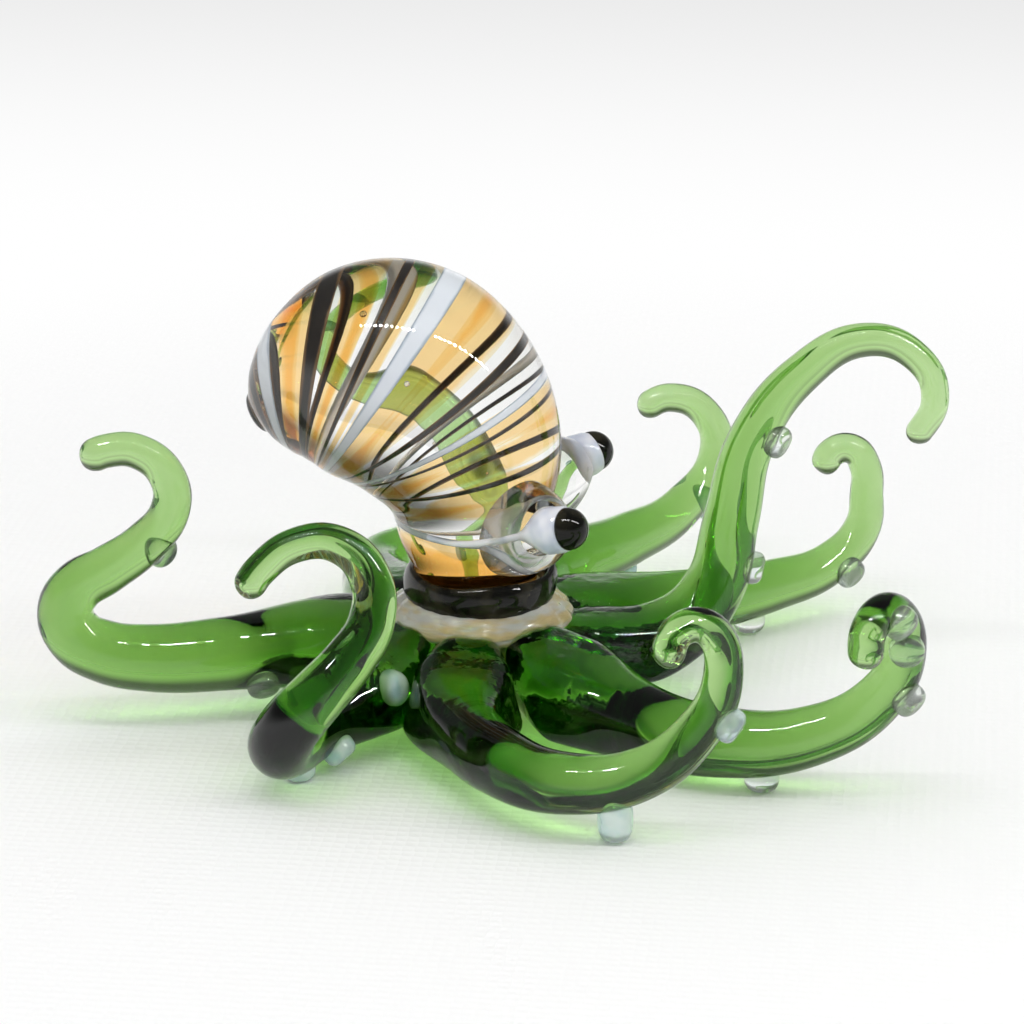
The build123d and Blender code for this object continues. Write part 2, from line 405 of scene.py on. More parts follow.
# name: (girth, route after the root, suckers, share of the route where a foot stands, dab finish)
# A sucker is (share of the route, degrees from the rod's underside)
armRoutes = {
    "front": (
        0.86,
        [(18.5, 3, 7), (23, 5.6, 11), (24.7, 7.1, 18), (26.5, 8.5, 26), (31.3, 9.9, 32.8)]
        + [(37.5, 11.2, 36.2), (42.7, 11.8, 34.4), (44.7, 12, 30), (42.6, 11.6, 25.5)],
        ((0.36, -30), (0.56, -45)),
        None,
        "dew",
    ),
    "front_left": (
        0.98,
        [(18.2, 15.8, 5.4), (28, 25, 4.6), (34.3, 30.3, 5.8), (37.2, 32.6, 9), (37.5, 33, 12.6)]
        + [(37.3, 33, 15.6), (35.8, 32.6, 17.7), (33.7, 31.9, 17.4), (32.8, 31.4, 15.2)],
        ((0.69, -60),),
        0.5,
        "dew",
    ),
    "left": (
        0.96,
        [(2.8, 17, 7.2), (6.6, 22, 7.4), (11.9, 30.2, 7.2), (17.4, 38.4, 8.6), (20.6, 42.3, 13.2)]
        + [(19.5, 42.4, 17.8), (15.7, 41.2, 20), (12.2, 40, 18.8)],
        ((0.3, 0), (0.48, 0), (0.7, 0)),
        None,
        "opal",
    ),
    "rear_left": (
        1.0,
        [(-12.8, 17, 5.2), (-14, 25.5, 4.8), (-9.6, 33.1, 5.6), (-5.5, 36.6, 10), (-4.2, 36.8, 16)]
        + [(-5.9, 36, 21.6), (-9.8, 35.1, 24.2), (-14.1, 34, 22.2)],
        ((0.6, 0), (0.72, 0)),
        0.34,
        "opal",
    ),
    "rear": (
        1.04,
        [(-17, -3.5, 6.8), (-25, -7.5, 6.7), (-32, -10, 6.9), (-36.4, -11, 7.8), (-39, -11.4, 9.4)]
        + [(-40, -11.4, 12), (-38.8, -11.3, 14.5), (-35.8, -11, 16.4), (-32, -10.6, 19.2)]
        + [(-29.4, -10.2, 22.6), (-29.5, -10.2, 26), (-32.2, -10.7, 28.7), (-35.4, -11.1, 28.8)]
        + [(-37.8, -11.5, 27.7)],
        ((0.28, 45), (0.75, -150)),
        None,
        "dew",
    ),
    "rear_right": (
        0.98,
        [(-11, -14.5, 5.4), (-14, -20.5, 4.7), (-15.4, -25.4, 4.7), (-15.4, -28.4, 6.1), (-14, -29.8, 8.7)]
        + [(-11.6, -29, 11.4), (-9, -27.2, 14.2), (-7.1, -25.2, 17.4), (-7.4, -23.7, 21.4)]
        + [(-10.2, -23.4, 24.4), (-14.1, -24.3, 24.7), (-17.6, -25.7, 22.4), (-19.1, -26.5, 20)],
        ((0.19, 100), (0.31, 45)),
        0.36,
        "opal",
    ),
    "right": (
        0.98,
        [(0.2, -15, 5.8), (1.4, -21, 5.4), (5.3, -28.1, 5.2), (12.1, -33.3, 5.4), (19.2, -33.8, 6.8)]
        + [(24.4, -33.3, 11), (26.8, -33, 16.5), (25.6, -34.1, 21.6), (22.9, -36.5, 22.2)]
        + [(21.9, -38.9, 19.6)],
        ((0.75, -15),),
        0.58,
        "haze",
    ),
    "front_right": (
        1.06,
        [(15.9, -14.7, 5), (25.6, -19.5, 4.6), (34.7, -20.1, 6), (40.8, -20.2, 10.1)]
        + [(43.1, -21.6, 16), (41.7, -24.7, 20.6), (39.9, -28.1, 20), (39.7, -29, 16.4)],
        ((0.72, -30), (0.81, -75), (0.89, -45)),
        0.5,
        "dew",
    ),
}
rootRoom = sin(pi / len(armRoutes))  # half the room between two neighbours, for each unit from the axis


def pathObject(name, points, steps=48):  # a smooth curve through given points
    data = bpy.data.curves.new(name, "CURVE")
    data.dimensions = "3D"
    data.resolution_u = steps
    spline = data.splines.new("BEZIER")
    spline.bezier_points.add(len(points) - 1)
    for knot, point in zip(spline.bezier_points, points):
        knot.co = hubAxis + Vector(point) * mm
    for knot in spline.bezier_points:
        knot.handle_left_type = knot.handle_right_type = "AUTO"
    return link(name, data)


def drawnRadius(tree, source, share):
    thick, thin = source["Rod Radius"], source["Tip Radius"]
    return ranged(tree, share, source["Draw Start"], source["Draw End"], thick, thin)


def domed(tree, fromEnd, rounding):  # how full a section is near a rounded end
    left = calc(tree, "SUBTRACT", 1.0, calc(tree, "DIVIDE", fromEnd, rounding))
    short = calc(tree, "MAXIMUM", left, 0.0)
    return calc(tree, "SQRT", calc(tree, "SUBTRACT", 1.0, calc(tree, "MULTIPLY", short, short)))


def onRoute(tree, source, share):  # centre, side and underside of the rod at a share of its route
    inputs = {"Curves": source["Geometry"], "Factor": share}
    spot = put(tree, "GeometryNodeSampleCurve", inputs, mode="FACTOR").outputs
    under = vecCalc(tree, "CROSS_PRODUCT", spot["Tangent"], spot["Normal"])
    return spot["Position"], spot["Normal"], under


def drawnRodTree():
    tree, source = newTree(
        "drawnRod",
        {
            "Rod Radius": 0.004,
            "Tip Radius": 0.0016,
            "Draw Start": 0.2,
            "Draw End": 1.0,
            "Root Start": 0.0,
            "Root Rounding": 0.001,
            "Root Room": 1.0,
            "Side Lap": 0.0,
            "Flare Wide": 0.0,
            "Flare Low": 0.0,
            "Flare Square": 0.0,
            "Flare From": 2.0,
            "Flare Full": 1.0,
            "Web From": -0.2,
            "Web Full": 0.7,
            "Root Blend": 0.0003,
            "Axis X": 0.0,
            "Axis Y": 0.0,
            "Sides": 49,
            "Rings": 200,
        },
    )
    counts = {"Size X": 1.0, "Size Y": 1.0, "Vertices X": source["Sides"], "Vertices Y": source["Rings"]}
    grid = put(tree, "GeometryNodeMeshGrid", counts).outputs[0]
    place = position(tree)
    turn = calc(tree, "MULTIPLY", place["X"], 2 * pi)
    gathered = calc(tree, "SINE", calc(tree, "MULTIPLY", place["Y"], pi))  # rings crowd towards both ends
    length = put(tree, "GeometryNodeCurveLength", {0: source["Geometry"]}).outputs[0]
    firstShare = calc(tree, "DIVIDE", source["Root Start"], length)
    share = ranged(tree, gathered, -1.0, 1.0, firstShare, 1.0, "LINEAR")
    centre, side, under = onRoute(tree, source, share)

    toTip = calc(tree, "MULTIPLY", calc(tree, "SUBTRACT", 1.0, share), length)
    along = calc(tree, "MULTIPLY", share, length)
    toRoot = calc(tree, "SUBTRACT", along, source["Root Start"])
    tipDome = domed(tree, toTip, source["Tip Radius"])
    rootDome = domed(tree, toRoot, source["Root Rounding"])
    full = calc(tree, "MULTIPLY", tipDome, rootDome)
    radius = drawnRadius(tree, source, share)
    axis = joinXyz(tree, source["Axis X"], source["Axis Y"], 0.0)
    flat = vecCalc(tree, "MULTIPLY", vecCalc(tree, "SUBTRACT", centre, axis), (1, 1, 0))
    fromAxis = lengthOf(tree, flat)
    room = calc(tree, "MULTIPLY_ADD", fromAxis, source["Root Room"], source["Side Lap"])
    flare = ranged(tree, fromAxis, source["Flare From"], source["Flare Full"])
    wide, low = (
        calc(tree, "MULTIPLY", radius, calc(tree, "MULTIPLY_ADD", flare, source[label], 1.0))
        for label in ("Flare Wide", "Flare Low")
    )
    cosine, sine = calc(tree, "COSINE", turn), calc(tree, "SINE", turn)
    roundness = calc(tree, "SUBTRACT", 1.0, calc(tree, "MULTIPLY", flare, source["Flare Square"]))
    below = ranged(tree, sine, source["Web From"], source["Web Full"])
    web = put(tree, "ShaderNodeMix", {"Factor": below, 2: wide, 3: low}).outputs[0]
    half = calc(tree, "SMOOTH_MIN", web, room, source["Root Blend"])

    skin = centre  # a roundness below 1 turns the section square
    for direction, reach, swing in ((side, half, cosine), (under, radius, sine)):
        size = calc(tree, "POWER", calc(tree, "ABSOLUTE", swing), roundness)
        signed = calc(tree, "MULTIPLY", size, calc(tree, "SIGN", swing))
        push = calc(tree, "MULTIPLY", calc(tree, "MULTIPLY", reach, full), signed)
        skin = vecCalc(tree, "ADD", skin, vecTimes(tree, direction, push))

    line = joinXyz(tree, cosine, sine, calc(tree, "MULTIPLY", along, lineRate))
    shaped = moved(tree, marked(tree, grid, "drawLine", line, "FLOAT_VECTOR"), Position=skin)
    return closeTree(tree, source, sewn(tree, shaped))


sucker = {
    "radius": 1.7,
    "height": 1.25,
    "bed": 1.3,  # depth let into the rod
    "plump": 0.72,
    "cup": 0.75,  # share of the face that the dimple takes
    "dimple": 0.1,
    "segments": 32,
    "rings": 24,
}


def dabForm(tree, source):  # a plump round dab with a shallow cup in its face
    counts = {"Segments": source["Segments"], "Rings": source["Rings"], "Radius": 1.0}
    ball = put(tree, "GeometryNodeMeshUVSphere", counts).outputs[0]
    place = position(tree)
    square = [calc(tree, "MULTIPLY", place[name], place[name]) for name in "XY"]
    out = calc(tree, "MAXIMUM", calc(tree, "SQRT", calc(tree, "ADD", *square)), 0.0001)
    wide = calc(tree, "POWER", out, source["Plump"])
    tall = calc(tree, "POWER", calc(tree, "ABSOLUTE", place["Z"]), source["Plump"])
    signed = calc(tree, "MULTIPLY", tall, calc(tree, "SIGN", place["Z"]))
    above = calc(tree, "GREATER_THAN", place["Z"], 0.0)
    face = calc(tree, "MULTIPLY", ranged(tree, wide, source["Cup"], 0.0), above)
    lift = calc(tree, "SUBTRACT", signed, calc(tree, "MULTIPLY", face, source["Dimple"]))
    swell = calc(tree, "DIVIDE", wide, out)
    around = [calc(tree, "MULTIPLY", place[name], swell) for name in "XY"]
    return moved(tree, ball, Position=joinXyz(tree, *around, lift))


def suckerTree():
    numbers = (1, 2, 3)  # the most suckers on one rod
    sizes = {
        "Rod Radius": 0.004,
        "Tip Radius": 0.0016,
        "Draw Start": 0.2,
        "Draw End": 1.0,
        "Dab Radius": 0.0015,
        "Dab Height": 0.0012,
        "Bed": 0.001,
        "Plump": 0.6,
        "Cup": 0.75,
        "Dimple": 0.15,
        "Segments": 32,
        "Rings": 24,
        "Count": 3,
        "Feet": 1,
        "Foot Share": 0.4,
    }
    sizes |= {f"Share {number}": 0.2 * number for number in numbers}
    sizes |= {f"Roll {number}": 0.0 for number in numbers}
    tree, source = newTree("suckerDabs", sizes)
    dab = dabForm(tree, source)
    index = put(tree, "GeometryNodeInputIndex").outputs[0]
    picked = {}
    for label in ("Share", "Roll"):
        pick = put(tree, "GeometryNodeIndexSwitch", {"Index": index}, data_type="FLOAT")
        pick.index_switch_items.new()
        for number in numbers:
            wire(tree, pick.inputs[number], source[f"{label} {number}"])
        picked[label] = pick.outputs[0]
    centre, side, under = onRoute(tree, source, picked["Share"])
    down = vecTimes(tree, under, calc(tree, "COSINE", picked["Roll"]))
    outward = vecCalc(tree, "SUBTRACT", down, vecTimes(tree, side, calc(tree, "SINE", picked["Roll"])))
    half = calc(tree, "MULTIPLY", calc(tree, "ADD", source["Dab Height"], source["Bed"]), 0.5)
    proud = calc(tree, "SUBTRACT", source["Dab Height"], half)
    away = calc(tree, "ADD", drawnRadius(tree, source, picked["Share"]), proud)
    middle = vecCalc(tree, "ADD", centre, vecTimes(tree, outward, away))
    spots = [(source["Count"], middle, outward, half)]

    centre = onRoute(tree, source, source["Foot Share"])[0]  # a foot reaches from here down to the floor
    place = splitXyz(tree, centre)
    rod = drawnRadius(tree, source, source["Foot Share"])
    top = calc(tree, "ADD", calc(tree, "SUBTRACT", place["Z"], rod), source["Bed"])
    half = calc(tree, "MULTIPLY", top, 0.5)
    spots.append((source["Feet"], joinXyz(tree, place["X"], place["Y"], half), (0, 0, -1), half))

    joined = put(tree, "GeometryNodeJoinGeometry")
    for count, middle, lean, half in spots:
        points = put(tree, "GeometryNodePoints", {"Count": count, "Position": middle}).outputs[0]
        facing = put(tree, "FunctionNodeAlignRotationToVector", {"Vector": lean}, axis="Z").outputs[0]
        scale = joinXyz(tree, source["Dab Radius"], source["Dab Radius"], half)
        inputs = {"Points": points, "Instance": dab, "Rotation": facing, "Scale": scale}
        dabs = put(tree, "GeometryNodeInstanceOnPoints", inputs)
        tree.links.new(dabs.outputs[0], joined.inputs[0])
    return closeTree(tree, source, joined.outputs[0])


drawnRod = drawnRodTree()
suckerDabs = suckerTree()
for number, (name, (girth, bends, dabs, foot, dabFinish)) in enumerate(armRoutes.items()):
    heading = 2 * pi * number / len(armRoutes)
    reaches = (arm["rootInside"], arm["rootOutside"])
    roots = [(out * cos(heading), out * sin(heading), arm["rootHeight"]) for out in reaches]
    path = pathObject(f"route_{name}", roots + bends)
    taper = {
        "Rod Radius": arm["rodRadius"] * girth * mm,
        "Tip Radius": arm["tipRadius"] * girth * mm,
        "Draw Start": arm["drawStart"],
    }
    rootSizes = {
        "Root Start": arm["rootStart"] * mm,
        "Root Rounding": arm["rootRounding"] * mm,
        "Root Room": rootRoom,
        "Side Lap": arm["sideLap"] * mm,
        "Flare Wide": arm["flareWide"],
        "Flare Low": arm["flareLow"],
        "Flare Square": arm["flareSquare"],
        "Flare From": arm["flareFrom"] * mm,
        "Flare Full": arm["flareFull"] * mm,
        "Web From": arm["webFrom"],
        "Web Full": arm["webFull"],
        "Root Blend": arm["rootBlend"] * mm,
        "Axis X": hubAxis.x,
        "Axis Y": hubAxis.y,
        "Sides": arm["sides"],
        "Rings": arm["rings"],
    }
    piece = grow(f"drawnArm_{name}", path, drawnRod, finishes["green"], taper | rootSizes)
    settle(piece, f"arm_{name}")
    dabSizes = {
        "Plump": sucker["plump"],
        "Cup": sucker["cup"],
        "Dimple": sucker["dimple"],
        "Segments": sucker["segments"],
        "Rings": sucker["rings"],
        "Dab Radius": sucker["radius"] * mm,
        "Dab Height": sucker["height"] * mm,
        "Bed": sucker["bed"] * mm,
        "Count": len(dabs),
        "Feet": 0 if foot is None else 1,
        "Foot Share": foot or 0.0,
    }
    for place, (share, roll) in enumerate(dabs, 1):
        dabSizes |= {f"Share {place}": share, f"Roll {place}": radians(roll)}
    piece = grow(f"opalDabs_{name}", path, suckerDabs, finishes[dabFinish], taper | dabSizes)
    settle(piece, f"suckers_{name}")
    bpy.data.objects.remove(path)
print("arms:", len(armRoutes), "rods with their suckers")


# Hub and neck: a pale boss that the rods meet, and a black ring gathered round the bulb's neck

hub = {
    # outline turned about the hub's axis, from the foot of the core to the neck: key, radius, height
    "outline": [(0, poleRadius, 3.3), (1, 5.4, 3.3), (2, 6.6, 4.3), (3, 6.8, 6.5), (4, 6.8, 8.2)]
    + [(5, 7.4, 8.9), (6, 8.6, 9), (7, 9.3, 9.5), (8, 9.2, 10.3), (9, 8.5, 11), (10, 7.4, 11.8)]
    + [(11, 6, 12.5), (12, poleRadius, 12.6)],
    "rows": 88,
    "sides": 192,
    "lobeFrom": 5.5,  # past this radius the rim sags between the rods, in full after lobeSpan
    "lobeSpan": 4,
    "sag": 0.15,
    "waver": 0.02,  # how uneven the rim is in width, and in height
    "lump": 0.1,
}
collar = {
    "bottom": 11.2,
    "top": 14.6,
    "inner": 6.35,
    "outer": 7.8,
    "waver": 0.02,
    "lift": 0.16,  # how far the ring rises and falls
    "rows": 28,
    "sides": 128,
}


def hubWaver(turn, radius, height):
    loose = max(0, (radius - hub["lobeFrom"]) / hub["lobeSpan"])
    between = 0.5 - 0.5 * cos(len(armRoutes) * turn)
    lumps = sin(9 * turn + 1.3 * height) * sin(14 * turn - 0.9 * height)
    wide = 1 + hub["waver"] * loose * (sin(3 * turn) + lumps)
    return wide, -hub["sag"] * loose * between + hub["lump"] * loose * (sin(5 * turn + 1) + lumps)


def collarWaver(turn, radius, height):
    return 1 + collar["waver"] * sin(3 * turn + 0.7 * height), collar["lift"] * sin(4 * turn)


lastKey = hub["outline"][-1][0]
boss = [eased(hub["outline"], lastKey * row / hub["rows"]) for row in range(hub["rows"] + 1)]
hubBoss = link("hubBoss", turned("hubBoss", boss, hubAxis, (0, 0, 1), hub["sides"], waver=hubWaver))
hubBoss.data.materials.append(finishes["hub"])
settle(hubBoss, "hub")

collarLine = []
for row in range(collar["rows"]):
    lean = 2 * pi * row / collar["rows"]
    middle, half = (collar["outer"] + collar["inner"]) / 2, (collar["outer"] - collar["inner"]) / 2
    level, rise = (collar["top"] + collar["bottom"]) / 2, (collar["top"] - collar["bottom"]) / 2
    collarLine.append((middle + half * cos(lean), level + rise * sin(lean)))
collarRing = turned("neckCollar", collarLine, hubAxis, (0, 0, 1), collar["sides"], True, collarWaver)
neckCollar = link("neckCollar", collarRing)
neckCollar.data.materials.append(finishes["black"])
settle(neckCollar, "neck_band")
print("hub and neck: two turned pieces")


# Mantle: a solid clear bulb, round sections in a fan about a hinge line behind the neck

mantle = {
    "hingeBehind": 17.5,
    "hingeAboveNeck": 7.1,
    "neckKeys": [(-26, -0.3, -2.3, 0, 5.9), (-22, -0.4, 0, 0, 6.25), (-14, -0.75, 2.95, -2.5, 7.3)],
    "fan": [(-5, 16.4, 7.8), (10, 16.3, 9.7), (25, 16.2, 11), (40, 16, 11.8), (55, 15.7, 11.9)]
    + [(70, 14.9, 11), (85, 13.5, 9.3), (100, 11.5, 6.8), (112, 10.1, 4.3), (119, 9.6, 2.2)],
    "step": 0.5,  # degrees from ring to ring
    "tipDome": 5,  # degrees taken by the rounded tip, the rings in it, and how far round they go
    "tipRows": 8,
    "tipLean": 84,
    "sides": 112,
    # seed bubbles: fan angle, degrees round the section, how far out, radius
    "bubbles": [(71, -44, 0.9, 0.35), (52, -72, 0.92, 0.28), (33, -84, 0.93, 0.18), (17, -66, 0.92, 0.15)],
    "bubbleSides": 20,
    "bubbleRows": 14,
    "bubbleMark": -180,  # a fan angle that no cane has
}
hinge = (-mantle["hingeBehind"], neckTop + mantle["hingeAboveNeck"])
# Section keys: fan angle, centre forwards, centre up, tilt, radius
sectionKeys = []
for fan, ahead, up, tilt, radius in mantle["neckKeys"]:
    sectionKeys.append((fan, ahead, neckTop + up, tilt, radius))
for fan, reach, radius in mantle["fan"]:
    ahead, up = hinge[0] + reach * cos(radians(fan)), hinge[1] + reach * sin(radians(fan))
    sectionKeys.append((fan, ahead, up, fan, radius))


def mantlePoint(fan, turn, shrink=1.0):
    ahead, up, tilt, radius = eased(sectionKeys, fan)
    spoke = Vector((cos(radians(tilt)), 0, sin(radians(tilt))))
    out = spoke * cos(turn) + Vector((0, 1, 0)) * sin(turn)
    return hubAxis + (Vector((ahead, 0, up)) + out * radius * shrink) * mm


def bulbMesh():
    firstFan, lastFan = sectionKeys[0][0], sectionKeys[-1][0]
    steps = int((lastFan - firstFan) / mantle["step"])
    rows = [(firstFan + mantle["step"] * row, 1.0) for row in range(steps + 1)]
    for row in range(1, mantle["tipRows"] + 1):  # the tip rounds off past the last section
        lean = radians(mantle["tipLean"] * row / mantle["tipRows"])
        rows.append((lastFan + mantle["tipDome"] * sin(lean), cos(lean)))
    turns = [2 * pi * side / mantle["sides"] for side in range(mantle["sides"])]
    onward = Vector((-sin(radians(lastFan)), 0, cos(radians(lastFan))))
    tipReach = mantle["fan"][-1][1]
    rings = []
    for fan, shrink in rows:
        push = onward * radians(max(0, fan - lastFan)) * tipReach
        ring = [mantlePoint(min(fan, lastFan), turn, shrink) for turn in turns]
        rings.append([point + push * mm for point in ring])
    mesh = ringMesh("mantleBulb", rings, False)
    marks = [fan for fan, shrink in rows for turn in turns] + [rows[0][0], rows[-1][0]]
    form = bmesh.new()
    form.from_mesh(mesh)
    counts = {"u_segments": mantle["bubbleSides"], "v_segments": mantle["bubbleRows"]}
    for fan, turn, out, size in mantle["bubbles"]:
        spot = Matrix.Translation(mantlePoint(fan, radians(turn), out))
        bubble = bmesh.ops.create_uvsphere(form, radius=size * mm, matrix=spot, **counts)
        marks += [mantle["bubbleMark"]] * len(bubble["verts"])
    for face in form.faces:
        face.smooth = True
    form.to_mesh(mesh)
    form.free()
    mesh.attributes.new("fan", "FLOAT", "POINT").data.foreach_set("value", marks)
    return mesh


mantleBulb = link("mantleBulb", bulbMesh())
mantleBulb.data.materials.append(finishes["clear"])
settle(mantleBulb, "mantle_bulb")

# Canes: bands of coloured glass laid just under the bulb's skin, as pairs of fan angles

canes = {
    "black": {
        "depth": 0.06,
        "thickness": 0.5,
        "bands": [(12.5, 14), (25, 26), (36.5, 38.5), (65.5, 67.5), (80, 85.5), (108.5, 114), (118, 124.5)],
    },
    "white": {
        "depth": 0.06,
        "thickness": 0.6,
        "bands": [(-8.5, -6), (28, 30), (54.5, 59.5), (99.5, 106)],
    },
    "amber": {
        "depth": 0.1,
        "thickness": 0.3,
        "bands": [(-26, -11), (2.5, 8.5), (15.5, 23), (41, 50), (61, 64), (70, 78.5)]
        + [(88, 96.5), (115, 117)],
    },
}
bandMargin = 0.01  # degrees, so that a ring of the bulb on a band's edge belongs to the band


def inletCaneTree():
    sizes = {"From": 0.0, "To": 1.0, "Depth": 0.0001, "Thickness": 0.0005, "Thin Edge": 0.06}
    tree, source = newTree("inletCane", sizes)
    marks = put(tree, "GeometryNodeInputNamedAttribute", {"Name": "fan"}, data_type="FLOAT")
    fan = marks.outputs["Attribute"]
    low = calc(tree, "LESS_THAN", fan, source["From"])
    high = calc(tree, "GREATER_THAN", fan, source["To"])
    inputs = {0: source["Geometry"], "Selection": calc(tree, "ADD", low, high)}
    band = put(tree, "GeometryNodeDeleteGeometry", inputs, domain="POINT").outputs[0]
    middle = calc(tree, "MULTIPLY", calc(tree, "ADD", source["From"], source["To"]), 0.5)
    width = calc(tree, "MULTIPLY", calc(tree, "SUBTRACT", source["To"], source["From"]), 0.5)
    off = calc(tree, "DIVIDE", calc(tree, "ABSOLUTE", calc(tree, "SUBTRACT", fan, middle)), width)
    across = calc(tree, "SUBTRACT", 1.0, calc(tree, "MULTIPLY", off, off))
    out = put(tree, "GeometryNodeInputNormal").outputs[0]
    sunk = vecTimes(tree, out, calc(tree, "MULTIPLY", source["Depth"], -1.0))
    skin = moved(tree, marked(tree, band, "across", across, "FLOAT"), Offset=sunk)
    kept = put(tree, "GeometryNodeCaptureAttribute", {0: skin}, domain="POINT")
    kept.capture_items.new("VECTOR", "Out")
    wire(tree, kept.inputs["Out"], out)
    inputs = {0: kept.outputs[0], "Offset Scale": 0.0, "Individual": False}
    walls = put(tree, "GeometryNodeExtrudeMesh", inputs, mode="FACES").outputs
    full = calc(tree, "SQRT", calc(tree, "MAXIMUM", across, source["Thin Edge"]))
    belly = calc(tree, "MULTIPLY", full, source["Thickness"])
    inward = vecTimes(tree, kept.outputs["Out"], calc(tree, "MULTIPLY", belly, -1.0))
    inner = moved(tree, walls["Mesh"], Selection=walls["Top"], Offset=inward)
    turnedIn = put(tree, "GeometryNodeFlipFaces", {0: inner}).outputs[0]
    joined = put(tree, "GeometryNodeJoinGeometry")
    for part in (skin, turnedIn):
        tree.links.new(part, joined.inputs[0])
    return closeTree(tree, source, sewn(tree, joined.outputs[0]))


def joinMeshes(name, meshes, finish):
    form = bmesh.new()
    for mesh in meshes:
        form.from_mesh(mesh)
    for face in form.faces:
        face.material_index = 0
    joined = bpy.data.meshes.new(name)
    form.to_mesh(joined)
    form.free()
    joined.materials.append(finish)
    return joined


inletCane = inletCaneTree()
for colour, cane in canes.items():
    finish = finishes[colour + "Cane"]
    sizes = {"Depth": cane["depth"] * mm, "Thickness": cane["thickness"] * mm}
    strips = []
    for low, high in cane["bands"]:
        span = {"From": low - bandMargin, "To": high + bandMargin}
        strips.append(grow(f"cane_{colour}", mantleBulb, inletCane, finish, sizes | span))
    piece = link(f"{colour}Canes", joinMeshes(f"{colour}Canes", [strip.data for strip in strips], finish))
    for strip in strips:
        bpy.data.objects.remove(strip)
    settle(piece, f"mantle_{colour}_stripes")
print("mantle: bulb and", sum(len(cane["bands"]) for cane in canes.values()), "canes")


# Eyes: a clear pad on each cheek, a milky ball drawn out of a white tail, and a black cap

eyes = {
    "place": (9.3, 11.7, 8.4),  # forwards, aside and above the neck's top
    "padRoot": (2.5, 3.5, 5.8),
    "padOutline": [(0.0, 3.9), (0.25, 4.1), (0.5, 4.0), (0.7, 3.5), (0.85, 2.7), (0.96, 1.9), (1.0, 1.5)],
    "padTall": 1.3,  # the pad's foot is an oval, so much taller and so much narrower than round
    "padNarrow": 0.92,
    "padLap": 0.03,  # how far a pad is let into the bulb
    "padCrown": 0.3,
    "padRows": 40,
    "padSides": 96,
    "padCrease": 35,  # degrees, past which an edge of the cut pad stays sharp
    "ballRadius": 2.3,
    "ballEnd": 0.2,  # share of the route where the ball starts to thin, and where the tail starts
    "tailStart": 0.37,
    "ballSides": 49,
    "ballRings": 120,
    "tail": [(5.4, 11.2, 7.4), (2.6, 9.0, 6.0), (-1.0, 7.7, 5.1), (-4.4, 6.9, 5.4)],
    "tailRadius": 0.34,
    "capRadius": 2.1,
    "capForward": 0.95,
    "capLift": 0.02,  # how far the cap's seat stands off the ball
    "capRows": 20,
    "capSides": 64,
    "gaze": (0.84, 0.47, 0.27),
}


def padMesh(name, root, eye):
    stalk = eye - root
    length = stalk.length / mm
    outline = [(poleRadius, 0.0)]
    for row in range(eyes["padRows"] + 1):
        share = row / eyes["padRows"]
        (radius,) = eased(eyes["padOutline"], share)
        outline.append((radius, share * length))
    outline.append((poleRadius, length + eyes["padCrown"]))

    def oval(turn, radius, height):
        foot = max(0, 1 - height / length)
        reach = sqrt((eyes["padNarrow"] * cos(turn)) ** 2 + (eyes["padTall"] * sin(turn)) ** 2)
        return 1 + (reach - 1) * foot, 0

    return turned(name, outline, root, stalk.normalized(), eyes["padSides"], waver=oval)


def cutFromBulb(piece):  # takes the bulb, a hair smaller, out of a piece
    block = mantleBulb.data.copy()
    for vert, normal in zip(block.vertices, [vert.normal.copy() for vert in block.vertices]):
        vert.co -= normal * eyes["padLap"] * mm
    tool = link("bulbCutter", block)
    cut = piece.modifiers.new("cut", "BOOLEAN")
    cut.operation, cut.solver, cut.object = "DIFFERENCE", "EXACT", tool
    shown = piece.evaluated_get(bpy.context.evaluated_depsgraph_get())
    mesh = bpy.data.meshes.new_from_object(shown)
    piece.modifiers.remove(cut)
    piece.data = mesh
    mesh.set_sharp_from_angle(angle=radians(eyes["padCrease"]))
    bpy.data.objects.remove(tool)


def capMesh(name, eye, look):  # a round cap seated on the ball
    ball, cap, ahead = eyes["ballRadius"] + eyes["capLift"], eyes["capRadius"], eyes["capForward"]
    meet = (ball**2 - cap**2 + ahead**2) / (2 * ahead)  # height of the ring where the two spheres cross
    rim = sqrt(ball**2 - meet**2)
    inside, outside = asin(rim / ball), pi / 2 - asin((meet - ahead) / cap)
    leastLean = 0.01  # keeps a small ring at each pole
    rows = eyes["capRows"]
    outline = []
    for row in range(rows + 1):
        lean = max(leastLean, inside * row / rows)
        outline.append((ball * sin(lean), ball * cos(lean)))
    for row in range(1, rows + 1):
        lean = max(leastLean, outside * (1 - row / rows))
        outline.append((cap * sin(lean), ahead + cap * cos(lean)))
    return turned(name, outline, eye, look, eyes["capSides"])


